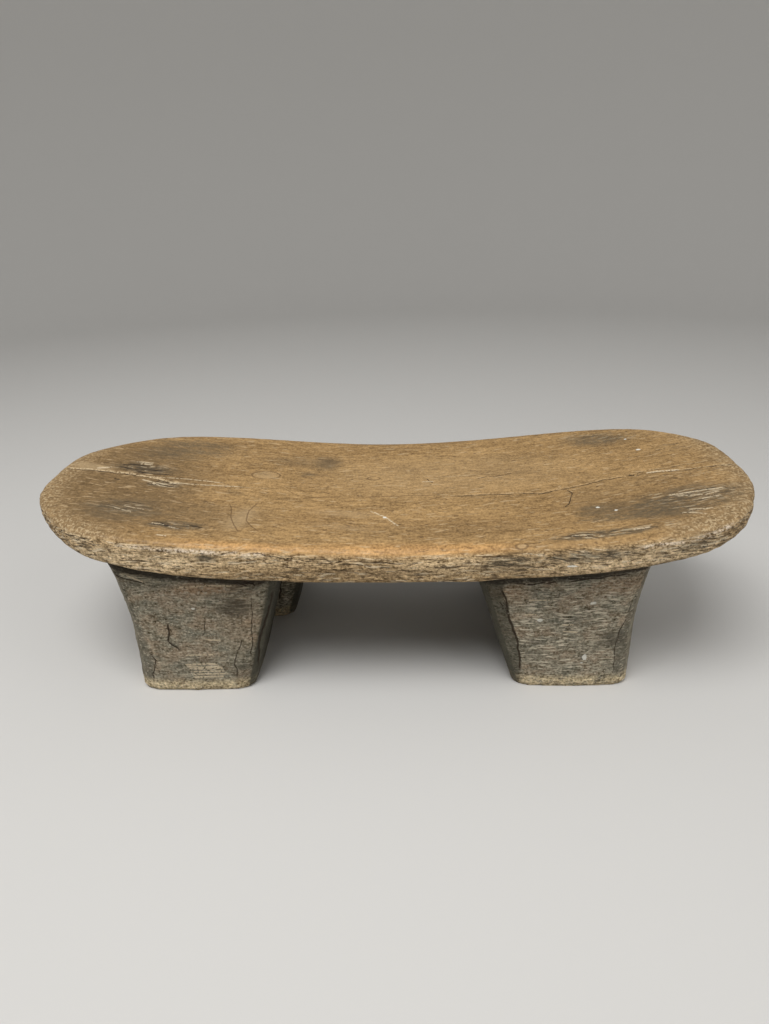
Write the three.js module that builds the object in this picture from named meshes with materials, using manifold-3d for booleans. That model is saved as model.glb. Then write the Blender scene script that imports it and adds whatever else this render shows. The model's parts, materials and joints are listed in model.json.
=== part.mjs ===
// A low four-legged stool, carved from one block of wood: a long saddle-shaped seat on four stout legs.
// Millimetres, +Z up, +X along the seat, -Y towards the front.
// The origin is on the ground, at the stool's middle in plan.
import * as THREE from 'three';
import { mergeVertices } from 'three/addons/utils/BufferGeometryUtils.js';
import Module from 'manifold-3d';

// Driving dimensions of the seat's plan: a rounded oblong whose edge wavers a little, as hand work does
const SEAT_LENGTH = 450;
const SEAT_WIDTH = 181;
const SEAT_SQUARENESS = 3.5;
const EDGE_WAVERS = [
  { waves: 1, along: 0.0035, across: -0.0245 },
  { waves: 2, along: -0.0025, across: 0.0015 },
  { waves: 3, along: -0.0095, across: -0.007 },
  { waves: 4, along: -0.0165, across: 0.002 },
  { waves: 5, along: -0.001, across: 0.0045 },
  { waves: 6, along: 0.0165, across: 0.0005 },
];

// Driving dimensions of the seat's top. It dips in the middle, and the front rim is lower than the rear one
const SEAT_HEIGHT = 108;
const LEFT_END_RISE = 16;
const RIGHT_END_RISE = 16.2;
const LEFT_DIP_SOFTNESS = 0.3;
const RIGHT_DIP_SOFTNESS = 0.94;
const REAR_RIM_RISE = 4.5;
const SEAT_DISH = 1.5;

// Driving dimensions of the seat's underside and rim
const UNDERSIDE_HEIGHT = 87;
const UNDERSIDE_END_RISE = 31.1;
const UNDERSIDE_CURVE = 3.05;
const END_THICKNESS = 4.6;
const END_THICKNESS_BLEND = 3;
const RIM_ROUNDING = 5.5;
const MIDDLE_RIM_ROUNDING = 9.5;
const MIDDLE_RIM_REACH = 70;
const LOWER_EDGE_ROUNDING = 3.8;
const LEAST_SIDE = 1;

// Driving dimensions that the legs share: how their sides lean between the ground and the seat, and how far
// their corners are cut back along X and along Y
const LEG_BITE = 5;
const OUTER_LEAN_CURVE = 3.4;
const INNER_LEAN_CURVE = 1.05;
const FACE_LEAN = 1.5;
const FACE_LEAN_CURVE = 3;
const GAP_LEAN = 3;
const FOOT_CORNER_CUT = new THREE.Vector2(10, 6);
const TOP_CORNER_CUT = new THREE.Vector2(12, 8);
const RIDGE_SHARE = 0.36;
const FACE_CROWN = 0.8;
const FOOT_BEVEL = 1.5;
const FOOT_BEVEL_SHARE = 0.018;

// Each leg: which end and side it is on, and how far its foot's four sides lie from the stool's middle planes
const LEGS = [
  { end: -1, side: -1, inner: 91.5, outer: 164, gap: 7, face: 76.6, innerLean: 25, outerLean: 13 },
  { end: 1, side: -1, inner: 73.7, outer: 146.3, gap: 11, face: 75, innerLean: 28, outerLean: 11 },
  { end: -1, side: 1, inner: 78, outer: 156, gap: 10, face: 76.5, innerLean: 27, outerLean: 12 },
  { end: 1, side: 1, inner: 77, outer: 148, gap: 10, face: 76, innerLean: 27, outerLean: 12 },
];

// How finely the solid is faceted
const SEAT_SEGMENTS = 128;
const TOP_RINGS = 10;
const ROUNDING_STEPS = 4;
const LOWER_ROUNDING_STEPS = 2;
const UNDERSIDE_RINGS = 7;
const LEG_RINGS = 11;
const OUTLINE_SAMPLES = 2000;
const MERGE_DISTANCE = 1e-4;

const WOOD_COLOUR = 0x8a6b47;
const WOOD_ROUGHNESS = 0.7;

const wasm = await Module();
wasm.setup();

const HALF_LENGTH = SEAT_LENGTH / 2;
const HALF_WIDTH = SEAT_WIDTH / 2;

class SeatOutline extends THREE.Curve {
  getPoint(t, target = new THREE.Vector3()) {
    const angle = 2 * Math.PI * t;
    const reach = (wave, half) => Math.sign(wave) * Math.abs(wave) ** (2 / SEAT_SQUARENESS) * half;
    target.set(reach(Math.cos(angle), HALF_LENGTH), reach(Math.sin(angle), HALF_WIDTH), 0);
    const waver = EDGE_WAVERS.reduce((sum, { waves, along, across }) => (
      sum + along * Math.cos(waves * angle) + across * Math.sin(waves * angle)
    ), 1);
    return target.multiplyScalar(waver);
  }
}

// Points evenly spaced round the plan, each with the direction that faces outwards there
function outlinePoints() {
  const outline = new SeatOutline();
  outline.arcLengthDivisions = OUTLINE_SAMPLES;
  const points = outline.getSpacedPoints(SEAT_SEGMENTS).slice(0, SEAT_SEGMENTS);
  return points.map((point, i) => {
    const next = points[(i + 1) % SEAT_SEGMENTS];
    const last = points[(i + SEAT_SEGMENTS - 1) % SEAT_SEGMENTS];
    const out = new THREE.Vector3(next.y - last.y, last.x - next.x, 0).normalize();
    return { point, out };
  });
}

// Height gained between the seat's middle and its ends: nearly straight ramps that meet in a soft dip
function saddleRise(x) {
  const [rise, softness] = x < 0 ? [LEFT_END_RISE, LEFT_DIP_SOFTNESS] : [RIGHT_END_RISE, RIGHT_DIP_SOFTNESS];
  const along = Math.abs(x) / HALF_LENGTH;
  const climb = (u) => Math.hypot(softness, u) - softness;
  return (rise * climb(along)) / climb(1);
}

function sidewaysSlope(y) {
  return (REAR_RIM_RISE * y) / HALF_WIDTH;
}

function rimHeight(x, y) {
  return SEAT_HEIGHT + saddleRise(x) + sidewaysSlope(y);
}

// The underside is flat over the legs and sweeps up under the overhanging ends, which thin to a rounded lip
function seatThickness(x) {
  const along = Math.abs(x) / HALF_LENGTH;
  const carved = UNDERSIDE_HEIGHT + UNDERSIDE_END_RISE * along ** UNDERSIDE_CURVE;
  const spare = SEAT_HEIGHT + saddleRise(x) - carved - END_THICKNESS;
  return END_THICKNESS + (spare + Math.hypot(spare, END_THICKNESS_BLEND)) / 2;
}

function undersideHeight(x, y) {
  return rimHeight(x, y) - seatThickness(x);
}

// The rim is worn rounder in the middle, where the legs of the sitter rub it
function rimRounding(x) {
  const middle = Math.exp(-((x / MIDDLE_RIM_REACH) ** 2));
  return RIM_ROUNDING + (MIDDLE_RIM_ROUNDING - RIM_ROUNDING) * middle;
}

// Moves every vertex of a lathed form, given its segment round the axis and its place on the profile
function reshape(geometry, profile, segments, place) {
  const position = geometry.attributes.position;
  for (let i = 0; i <= segments; i += 1) {
    profile.forEach((spot, j) => {
      const moved = place(i % segments, spot);
      position.setXYZ(i * profile.length + j, moved.x, moved.y, moved.z);
    });
  }
  return geometry;
}

// The profile is a half section in rim units, bottom centre to top centre. Its radius runs from 0 to 1
// across the flat faces and from 1 to 2 across the rounded rim. Its height runs from -2 to -1 over the
// lower rounding and from 1 to 2 over the upper one.
function seatProfile() {
  const profile = [];
  for (let k = 0; k < UNDERSIDE_RINGS; k += 1) {
    profile.push(new THREE.Vector2(k / UNDERSIDE_RINGS, -2));
  }
  for (let k = 0; k <= LOWER_ROUNDING_STEPS; k += 1) {
    const angle = (Math.PI / 2) * (k / LOWER_ROUNDING_STEPS);
    profile.push(new THREE.Vector2(1 + Math.sin(angle), -1 - Math.cos(angle)));
  }
  for (let k = 0; k <= ROUNDING_STEPS; k += 1) {
    const angle = (Math.PI / 2) * (k / ROUNDING_STEPS);
    profile.push(new THREE.Vector2(1 + Math.cos(angle), 1 + Math.sin(angle)));
  }
  for (let k = TOP_RINGS - 1; k >= 0; k -= 1) {
    profile.push(new THREE.Vector2(k / TOP_RINGS, 2));
  }
  return profile;
}

function placeSeatVertex(ring, spot) {
  const { point, out } = ring;
  const upper = spot.y > 0;
  const rounding = upper ? rimRounding(point.x) : LOWER_EDGE_ROUNDING;
  const tallest = seatThickness(point.x) - LOWER_EDGE_ROUNDING - LEAST_SIDE;
  const inset = point.clone().addScaledVector(out, -rounding);
  const moved = inset.clone().multiplyScalar(Math.min(spot.x, 1));
  moved.addScaledVector(out, rounding * Math.max(spot.x - 1, 0));
  if (upper) {
    const dish = SEAT_DISH * (1 - Math.min(spot.x, 1) ** 2);
    moved.z = rimHeight(moved.x, moved.y) - dish - Math.min(rounding, tallest) * (2 - spot.y);
  } else {
    moved.z = undersideHeight(moved.x, moved.y) + rounding * (2 + spot.y);
  }
  return moved;
}

function makeSeat() {
  const profile = seatProfile();
  const rings = outlinePoints();
  const form = new THREE.LatheGeometry(profile, SEAT_SEGMENTS);
  return reshape(form, profile, SEAT_SEGMENTS, (i, spot) => placeSeatVertex(rings[i], spot));
}

// A leg's section, counter-clockwise: four slightly crowned faces, and corners hewn off in two cuts each.
// The half size and the corner cut have one length along X and one along Y.
function legSection(half, cut) {
  const points = [];
  const corner = (signX, signY, fromXFace) => {
    const sign = new THREE.Vector2(signX, signY);
    const onXFace = new THREE.Vector2(half.x, half.y - cut.y).multiply(sign);
    const ridge = half.clone().addScaledVector(cut, -RIDGE_SHARE).multiply(sign);
    const onYFace = new THREE.Vector2(half.x - cut.x, half.y).multiply(sign);
    points.push(...(fromXFace ? [onXFace, ridge, onYFace] : [onYFace, ridge, onXFace]));
  };
  points.push(new THREE.Vector2(half.x + FACE_CROWN, 0));
  corner(1, 1, true);
  points.push(new THREE.Vector2(0, half.y + FACE_CROWN));
  corner(-1, 1, false);
  points.push(new THREE.Vector2(-half.x - FACE_CROWN, 0));
  corner(-1, -1, true);
  points.push(new THREE.Vector2(0, -half.y - FACE_CROWN));
  corner(1, -1, false);
  return points;
}

// The places of a leg's four sides, as distances from the stool's middle planes; up runs from 0 to 1
function legSides(leg, up) {
  return {
    inner: leg.inner - leg.innerLean * up ** INNER_LEAN_CURVE,
    outer: leg.outer + leg.outerLean * up ** OUTER_LEAN_CURVE,
    gap: leg.gap - GAP_LEAN * up ** FACE_LEAN_CURVE,
    face: leg.face + FACE_LEAN * up ** FACE_LEAN_CURVE,
  };
}

// A leg stops just inside the seat, so its top follows the seat's underside
function placeLegVertex(leg, i, spot) {
  const up = spot.y;
  const { inner, outer, gap, face } = legSides(leg, up);
  const bevel = FOOT_BEVEL * Math.max(0, 1 - up / FOOT_BEVEL_SHARE);
  const half = new THREE.Vector2((outer - inner) / 2 - bevel, (face - gap) / 2 - bevel);
  const cut = FOOT_CORNER_CUT.clone().lerp(TOP_CORNER_CUT, up);
  const edge = legSection(half, cut)[i];
  const x = (leg.end * (outer + inner)) / 2 + edge.x * spot.x;
  const y = (leg.side * (face + gap)) / 2 + edge.y * spot.x;
  return new THREE.Vector3(x, y, up * (undersideHeight(x, y) + LEG_BITE));
}

// The profile is in shares: the radius as a share of the section, the height as a share of the leg
function makeLeg(leg) {
  const profile = [new THREE.Vector2(0, 0), new THREE.Vector2(1, 0)];
  for (let k = 0; k <= LEG_RINGS; k += 1) {
    profile.push(new THREE.Vector2(1, FOOT_BEVEL_SHARE + (1 - FOOT_BEVEL_SHARE) * (k / LEG_RINGS)));
  }
  profile.push(new THREE.Vector2(0, 1));
  const sides = legSection(FOOT_CORNER_CUT, FOOT_CORNER_CUT).length;
  const form = new THREE.LatheGeometry(profile, sides);
  return reshape(form, profile, sides, (i, spot) => placeLegVertex(leg, i, spot));
}

// A closed solid from a form whose seam and poles still have doubled vertices
function solidFrom(form) {
  form.deleteAttribute('normal');
  form.deleteAttribute('uv');
  const merged = mergeVertices(form, MERGE_DISTANCE);
  const index = merged.index.array;
  const triVerts = [];
  for (let i = 0; i < index.length; i += 3) {
    const triangle = [index[i], index[i + 1], index[i + 2]];
    if (new Set(triangle).size === 3) {
      triVerts.push(...triangle);
    }
  }
  const vertProperties = Float32Array.from(merged.attributes.position.array);
  const mesh = new wasm.Mesh({ numProp: 3, vertProperties, triVerts: Uint32Array.from(triVerts) });
  return new wasm.Manifold(mesh);
}

function geometryFrom(solid) {
  const { vertProperties, triVerts } = solid.getMesh();
  const geometry = new THREE.BufferGeometry();
  geometry.setAttribute('position', new THREE.BufferAttribute(vertProperties, 3));
  geometry.setIndex(new THREE.BufferAttribute(triVerts, 1));
  geometry.computeVertexNormals();
  return geometry;
}

// Seat and legs grow out of one block, so they are one piece
function makeStool() {
  let block = solidFrom(makeSeat());
  LEGS.forEach((leg) => {
    block = block.add(solidFrom(makeLeg(leg)));
  });
  const geometry = geometryFrom(block);
  geometry.computeBoundingBox();
  const middle = geometry.boundingBox.getCenter(new THREE.Vector3());
  geometry.translate(-middle.x, -middle.y, 0);
  const finish = { color: WOOD_COLOUR, roughness: WOOD_ROUGHNESS, metalness: 0 };
  const mesh = new THREE.Mesh(geometry, new THREE.MeshStandardMaterial(finish));
  mesh.name = 'carved_stool';
  return mesh;
}

const stool = new THREE.Group();
stool.add(makeStool());

export default stool;
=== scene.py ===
import itertools
import json
import math
from collections import namedtuple

import bmesh
import bpy
import numpy as np
from mathutils import Matrix, Vector

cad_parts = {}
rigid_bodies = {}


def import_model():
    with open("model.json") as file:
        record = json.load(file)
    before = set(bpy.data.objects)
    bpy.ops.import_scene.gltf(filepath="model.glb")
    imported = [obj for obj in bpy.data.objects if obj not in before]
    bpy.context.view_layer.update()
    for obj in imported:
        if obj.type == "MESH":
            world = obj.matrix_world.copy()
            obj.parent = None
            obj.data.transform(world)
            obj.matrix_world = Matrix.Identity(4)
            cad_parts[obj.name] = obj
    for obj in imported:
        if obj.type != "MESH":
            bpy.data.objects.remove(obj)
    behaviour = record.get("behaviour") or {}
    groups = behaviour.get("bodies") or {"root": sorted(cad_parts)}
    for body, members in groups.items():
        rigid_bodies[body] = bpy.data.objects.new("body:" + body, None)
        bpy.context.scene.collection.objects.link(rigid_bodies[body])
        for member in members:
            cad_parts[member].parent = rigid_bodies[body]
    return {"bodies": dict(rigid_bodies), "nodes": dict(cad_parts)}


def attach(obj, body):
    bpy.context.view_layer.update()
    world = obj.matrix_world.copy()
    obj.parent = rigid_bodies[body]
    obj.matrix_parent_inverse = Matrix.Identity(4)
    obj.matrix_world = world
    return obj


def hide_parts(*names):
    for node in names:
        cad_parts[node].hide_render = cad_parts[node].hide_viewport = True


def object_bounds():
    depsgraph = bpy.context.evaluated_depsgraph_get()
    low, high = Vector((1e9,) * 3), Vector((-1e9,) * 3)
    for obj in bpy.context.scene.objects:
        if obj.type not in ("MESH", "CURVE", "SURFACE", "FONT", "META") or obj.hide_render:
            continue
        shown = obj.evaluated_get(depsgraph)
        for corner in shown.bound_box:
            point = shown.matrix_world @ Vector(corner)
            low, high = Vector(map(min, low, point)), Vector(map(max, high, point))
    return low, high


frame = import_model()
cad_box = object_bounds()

# Everything below is in millimetres until a mesh, a lamp or the camera is placed
MM = 0.001

# The seat's plan and underside, which tell a spot on the seat from one on a leg
SEAT_HALF_LENGTH = 225
SEAT_HALF_WIDTH = 90.5
SEAT_SQUARENESS = 3.5
UNDERSIDE_MIDDLE = 87
UNDERSIDE_END_RISE = 31.1
UNDERSIDE_CURVE = 3.05
REAR_RIM_RISE = 4.5

# How far out along X the legs reach, and where the middles of their tops are
LEGS_REACH = 182
LEG_MIDDLE = 112

# How far below the underside a painted shadow line runs where the left and the right legs go in under the rim
UNDERCUT_LEFT = 7.2
UNDERCUT_RIGHT = 9.4
UNDERCUT_WAVER = 0.9
UNDERCUT_CELL = (14, 14, 14)
UNDERCUT_SEED = 21

# How tan the legs' backs are, all over
BACK_TAN = 0.6

# What the carved mesh remembers of where its surface faced before it was carved
FACINGS = ("facing_x", "facing_y", "facing_z")

# Corners of the frame's mesh that lie this near to each other are one corner
SAME_PLACE = 0.001

# How finely the wood is meshed, and how often it is smoothed: all of it, and then the broad top alone, which
# is what faces up by more than a given share
VOXEL = 1.05
MOST_TRIANGLES = 196000
SMOOTHING = 0.5
LIGHT_PASSES = 4
BROAD_PASSES = 70
BROAD_FACING = 0.97

# The finished wood stays this far inside the frame's box. What is lower than a foot's edge stands flat, and
# the relief fades out between two heights near the floor
CLEARANCE = 0.02
FOOT_EDGE = 0.8
NO_RELIEF = 0.3
FULL_RELIEF = 3

# Uneven relief: how high, how large its bumps are along X, Y and Z, its seed, and the surface it is on
Relief = namedtuple("Relief", "height cell seed surface")
RELIEFS = (
    Relief(0.15, (60, 30, 30), 11, "top"),
    Relief(0.05, (22, 2.6, 2.6), 12, "top"),
    Relief(0.4, (40, 30, 24), 13, "rough"),
    Relief(0.2, (12, 4, 3.2), 14, "rough"),
    Relief(0.2, (7, 2.6, 2.2), 15, "side"),
    Relief(0.1, (8, 2.6, 2.2), 18, "leg"),
    Relief(0.22, (3.5, 3, 2.5), 16, "worn_ends"),
    Relief(0.3, (26, 14, 16), 17, "underside"),
)
# The random bumps repeat after this many of them
LATTICE = 64

# The least width that a crack is cut with, the groove under the rim, and the ridges that a blade left
LEAST_CUT = 0.9
SEAM_DEPTH = 0.9
RIDGE_HEIGHT = 0.3
RIDGE_WIDTH = 0.9

# The grain runs along the seat and bows with its dip. It also drifts and wavers, over longer and shorter ways
GRAIN_BOW = 14
GRAIN_DRIFT = 10
DRIFT_CELL = (70, 70, 70)
GRAIN_WAVER = 2.5
WAVER_CELL = (16, 16, 16)

# The view: from the front, a little above, with a tilt of under two degrees. The angles are in degrees
CAMERA_PLACE = (10.54, -437.13, 282.89)
CAMERA_PITCH = 23.79
CAMERA_YAW = -2.11
CAMERA_ROLL = -1.72
SENSOR = 36
LENS = SENSOR * 700 / 1024
NEAREST_SEEN = 0.01

# The floor is a disc that sweeps up to a wall all round. It and the lamps are in metres and watts
FLOOR_RADIUS = 1.6
SWEEP_RADIUS = 0.8
WALL_TOP = 2.2
FLOOR_STEPS = 64
FLOOR_SAME_PLACE = 0.0001
Lamp = namedtuple("Lamp", "name place size power")
LAMPS = (
    Lamp("key", (-0.3, -0.6, 1.35), (1.0, 0.7), 17),
    Lamp("fill", (0.9, -0.6, 0.9), (0.9, 0.9), 3),
)
LAMP_AIM = (0, 0, 0.05)
ROOM_STRENGTH = 0.4

# Colours of the studio and of the seat's top
ROOM_LIGHT = (1, 0.99, 0.97, 1)
PAPER = (0.62, 0.61, 0.59, 1)
TAN_DEEP = (0.30, 0.182, 0.073)
TAN_BRIGHT = (0.375, 0.232, 0.096)
OLD_BROWN = (0.165, 0.105, 0.047)
# The next colour is rubbed orange wood with a painted highlight, along the rounded front edge of the top
RUBBED_ORANGE_AND_SHEEN = (0.60, 0.33, 0.12)
PALE_HAIR = (0.58, 0.42, 0.24)
DARK_PORE = (0.10, 0.055, 0.022)
WORN_END = (0.265, 0.172, 0.08)
WORN_SPECK = (0.60, 0.46, 0.275)
PALE_WOOD = (0.50, 0.36, 0.20)

# Colours of the rim's side, and the painted shade of the underside
RIM_DEEP = (0.43, 0.29, 0.145)
RIM_BRIGHT = (0.53, 0.37, 0.195)
RIM_LIGHT = (0.70, 0.53, 0.32)
RIM_HAIR = (0.80, 0.65, 0.44)
RIM_PIT = (0.075, 0.042, 0.017)
RIM_FISSURE = (0.05, 0.03, 0.013)
# The next colour is painted shade for the faces that look down
PAINTED_UNDERSIDE_SHADE = (0.08, 0.06, 0.04)

# Colours of the legs
LEG_DEEP = (0.215, 0.190, 0.135)
LEG_BRIGHT = (0.275, 0.245, 0.177)
LEG_WARM = (0.31, 0.225, 0.145)
LEG_DULL = (0.125, 0.125, 0.095)
LEG_TAN = (0.36, 0.225, 0.125)
# The next colour is painted shade for the front legs' outer facets, shown more by tone than by the mesh's
# form
LEG_FACET = (0.14, 0.132, 0.10)
LEG_HEWN = (0.21, 0.185, 0.132)
LEG_PIT = (0.045, 0.034, 0.02)
LEG_CREST = (0.58, 0.51, 0.39)
LEG_FIBRE = (0.70, 0.62, 0.47)
WORN_FOOT = (0.62, 0.50, 0.31)
# The next colour is painted shade, for the legs' inner faces, the band just under the seat and the right
# front leg's inner corner
PAINTED_LEG_SHADE = (0.055, 0.052, 0.036)

# Colours of stains, torn fibres, cracks, scratches and specks, and of the painted shadow under the rim, the
# painted light on cracks' lips and the painted highlight on the rim's front edge
STAIN = (0.09, 0.067, 0.04)
GREY_DIRT = (0.075, 0.066, 0.046)
TORN_DARK = (0.055, 0.043, 0.028)
TORN_LIGHT = (0.62, 0.52, 0.36)
# The next colour is painted shadow, along the seam and just below the rim where the legs go in under it
PAINTED_SEAM_SHADOW = (0.025, 0.018, 0.01)
# The next colour is pale torn wood with painted light, for the lit far wall just behind a crack
CRACK_LIP = (0.60, 0.46, 0.28)
# The next colour is a painted highlight along the rim's front edge
PAINTED_GLOSS_HIGHLIGHT = (0.92, 0.78, 0.62)
CRACK_BLACK = (0.03, 0.018, 0.009)
SCRATCH_PALE = (0.70, 0.57, 0.39)
CHALKY_SPECK = (0.80, 0.78, 0.70)

# The darkest that a pattern makes a colour, and how much each of red, green and blue swings
DARKEST = 0.12
SWING_TINT = (0.95, 1.0, 1.1)

# How much the wood shines, and how rough it is where it is smooth, more where coarse, less where polished.
# The legs' end faces are less coarse than the rest of the legs
SPECULAR = 0.25
ROUGHNESS = 0.6
COARSE_ROUGHNESS = 0.25
POLISHED_ROUGHNESS = -0.25
END_FACE_COARSENESS = -0.6

# A mark is a line on the wood, as places in plan or, on the front and the back, as places along and up.
# Its lip is how strongly the wood just behind the line shows pale: torn wood, with painted light for the
# crack's lit far wall.
Mark = namedtuple("Mark", "path width depth lip", defaults=(0, 0))
# A patch is an oval with a soft edge. A speck is a small one with a crisp edge, and a ring is only its edge.
Patch = namedtuple("Patch", "centre reach turn strength")
Speck = namedtuple("Speck", "centre reach")
Ring = namedtuple("Ring", "centre reach")
RING_WIDTH = 0.4
# A mark thins out over this share of its length at each end, and shows this far to its sides, more with a lip
TAPER = 0.08
MARK_REACH = 1.5
LIP_REACH = 2.2
# A mark wanders off its path in slow and quick turns: how far, over which cell and with which seed.
# The finer marks wander less, by these shares
Turn = namedtuple("Turn", "reach cell seed")
SLOW_TURN = Turn(0.8, (9, 9, 9), 71)
QUICK_TURN = Turn(0.7, (3.2, 3.2, 3.2), 72)
LINE_WANDER = 0.2
SCRATCH_WANDER = 0.25
GLOSS_WANDER = 0.4
# What is written where no mark and no speck is near
NO_MARK = 50.0
NO_SPECK = 9

# Lines down the front legs where a smoother facet meets the rough face, as heights and places along
RIDGE_HEIGHTS = (9, 24, 33, 40.5, 51, 68)
RIDGE_PLACES = (79.5, 78.5, 76.5, 75, 71.5, 66.5)
RIGHT_FACET_HEIGHTS = (10, 23, 38, 48, 64, 80)
RIGHT_FACET_PLACES = (137.5, 136.5, 137, 141, 145, 153)
LEFT_FACET_HEIGHTS = (8, 16, 24, 29, 45, 70)
LEFT_FACET_PLACES = (-153.4, -152.4, -150, -152.6, -155, -161)

# Cracks, some cut through the fibres and some only hairlines, and thin lines and rings
TOP_CRACKS = (
    Mark([(38, -12), (60, -13), (84, -15), (97, -17), (112, -13), (141, -5), (169, -4)], 0.6, 0.8, 0.25),
    Mark([(166, -4), (188, -5), (207, -5), (222, -6)], 0.5, 0.4, 0.6),
    Mark([(153, -5), (163, -1), (172, 0), (203, 3), (215, 3)], 0.45, 0.2, 0.4),
    Mark([(-223, 6), (-201, 6), (-182, 5), (-163, 1), (-148, -4), (-139, -5)], 0.6, 1.1, 1),
    Mark([(-145, -5), (-131, -6), (-98, -4), (-80, -4)], 0.4, 0.1, 0.5),
    Mark([(-190, 15), (-177, 13), (-165, 14), (-158, 12)], 0.8, 0.7),
    Mark([(-176, 9), (-166, 8), (-158, 8), (-149, 8)], 0.8, 0.7),
    Mark([(-189, 19), (-181, 21), (-168, 20)], 0.7, 0.6),
    Mark([(-162, -10), (-155, -7), (-150, -9), (-141, -10)], 0.7, 0.8, 0.4),
    Mark([(57, 13), (65, 16), (73, 16), (84, 18)], 0.5, 0.3),
    Mark([(112, -14), (115, -22), (112, -31), (107, -41)], 0.45, 0.3),
    Mark([(-137, -61), (-130, -66), (-124, -68)], 0.8, 0.7),
    Mark([(-120, -63), (-111, -65)], 0.8, 0.7),
    Mark([(67, -79), (72, -82), (79, -82), (86, -82)], 0.4, 0.1),
    Mark([(-186, -5), (-181, -5)], 0.9, 0.6),
    Mark([(24, 17), (28, 9)], 0.45, 0.1),
    Mark([(-171, -38), (-155, -38)], 0.5, 0.1),
)
THIN_LINES = (
    Mark([(-83, -21), (-66, -18), (-51, -14), (-33, -12), (5, -10), (33, -11)], 0.45),
    Mark([(-103, -30), (-100, -38), (-98, -49), (-94, -59), (-89, -69)], 0.45),
    Mark([(-85, -25), (-89, -38), (-88, -52), (-83, -60), (-77, -67)], 0.45),
    Mark([(-72, -3), (-66, -9), (-60, -13)], 0.4),
    Mark([(34, -12), (12, -24), (-12, -27)], 0.35),
)
THIN_RINGS = (
    Ring((-88, 17.5), (9.8, 6.2)),
    Ring((74, -84), (3.3, 1.7)),
    Ring((-13, 18.5), (4.4, 2.6)),
)
# Where a painted highlight runs along the rim's front edge, which is rubbed smooth there
FRONT_GLOSS = (
    Mark([(-160, 110), (-142, 108.3), (-124, 107), (-107, 105.4), (-90, 103.8), (-68, 102.4)], 1.0),
    Mark([(136, 104.5), (163, 107.8), (178, 110.2), (194, 113.4)], 1.2),
)
FRONT_CRACKS = (
    Mark([(-81, 103.6), (-70, 102), (-57, 99.5), (-36, 97.5), (-22, 97)], 0.3, 0.2),
    Mark([(-138, 51), (-139, 42), (-139.5, 37), (-136.5, 34), (-133, 30)], 0.65, 1.1),
    Mark([(-114, 55), (-115.7, 46), (-118, 41)], 0.4, 0.3),
    Mark([(-152.6, 29), (-150, 23.6), (-152.4, 16), (-153.4, 8)], 0.55, 0.4),
    Mark([(-93, 40), (-97, 30.6), (-99.5, 23), (-99.4, 9)], 0.5, 0.4),
    Mark([(-84, 70), (-86, 52), (-87, 42), (-88, 33), (-89, 23)], 0.4, 0.25),
    Mark([(-72, 71), (-75, 60), (-78.5, 50), (-81.5, 40), (-84.3, 29), (-87, 12)], 0.8, 1.1),
    Mark([(65, 74), *zip(RIDGE_PLACES[::-1], RIDGE_HEIGHTS[::-1])], 0.85, 0.9),
    Mark([(145, 64), (141, 48), (137, 38), (136.5, 23), (137.5, 10)], 0.4, 0.2),
    Mark([(-92, 80), (-86, 76)], 0.7, 0.5),
    Mark([(-88, 81), (-81, 76)], 0.7, 0.5),
    Mark([(-84, 81), (-77, 77)], 0.7, 0.5),
    Mark([(66, 58), (70, 54)], 0.5, 0.3),
    Mark([(64, 62), (69, 57)], 0.5, 0.3),
    Mark([(-166, 84), (-158, 82), (-146, 79)], 0.6, 0.5),
    Mark([(104, 77), (122, 78), (140, 81)], 0.6, 0.5),
    Mark([(72, 76), (84, 75), (98, 76)], 0.6, 0.5),
)
# A few plain cracks on the legs' backs
BACK_CRACKS = (
    Mark([(-128, 66), (-126.5, 52), (-130, 38), (-129, 30)], 0.55, 0.9),
    Mark([(-103, 30), (-105.5, 18), (-104.5, 8)], 0.5, 0.5),
    Mark([(101, 73), (104, 58), (102, 45), (105.5, 30)], 0.6, 1.0),
    Mark([(125, 26), (122.5, 16), (123, 9)], 0.5, 0.5),
    Mark([(-142, 79), (-122, 77), (-104, 78)], 0.6, 0.5),
    Mark([(96, 81), (112, 79), (134, 81)], 0.6, 0.5),
)
# Pale scratches and torn fibres. Those on the front legs also stand up as the ridges that a blade left
TOP_SCRATCHES = (
    Mark([(-14, -32), (-4, -41), (5, -55)], 0.7),
    Mark([(-181, 25), (-168, 25)], 0.8),
    Mark([(-177, 22), (-168, 22)], 0.6),
    Mark([(-203, 9), (-193, 13)], 1.1),
    Mark([(-143, -63), (-134, -63)], 0.7),
    Mark([(-132, -65), (-124, -68)], 0.6),
    Mark([(-135, -77), (-128, -78)], 0.7),
    Mark([(-171, -46), (-164, -49), (-158, -50)], 0.35),
    Mark([(-166, -43), (-158, -45), (-151, -46)], 0.35),
    Mark([(-166, 2.5), (-157, 2.5), (-141, 3), (-127, 2), (-112, 0)], 0.5),
    Mark([(-157, -3), (-152, -3.6), (-128, -4.7), (-115, -4), (-99, -3.5)], 0.45),
    Mark([(168, -39), (178, -38), (190, -37), (204, -37)], 0.8),
    Mark([(173, -41), (182, -42), (189, -43), (199, -41)], 0.6),
    Mark([(185, -48), (198, -46)], 0.7),
    Mark([(173, -59), (188, -61)], 0.6),
    Mark([(169, -62), (176, -64), (182, -67)], 0.5),
    Mark([(103, -77), (112, -78)], 0.6),
    Mark([(137, -76), (148, -75)], 0.8),
    Mark([(166, -3.5), (174, -2.5), (188, -4.5)], 0.9),
    Mark([(20, 12), (29, 12)], 0.5),
    Mark([(-168, -3), (-160, -6), (-152, -11)], 0.9),
)
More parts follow.
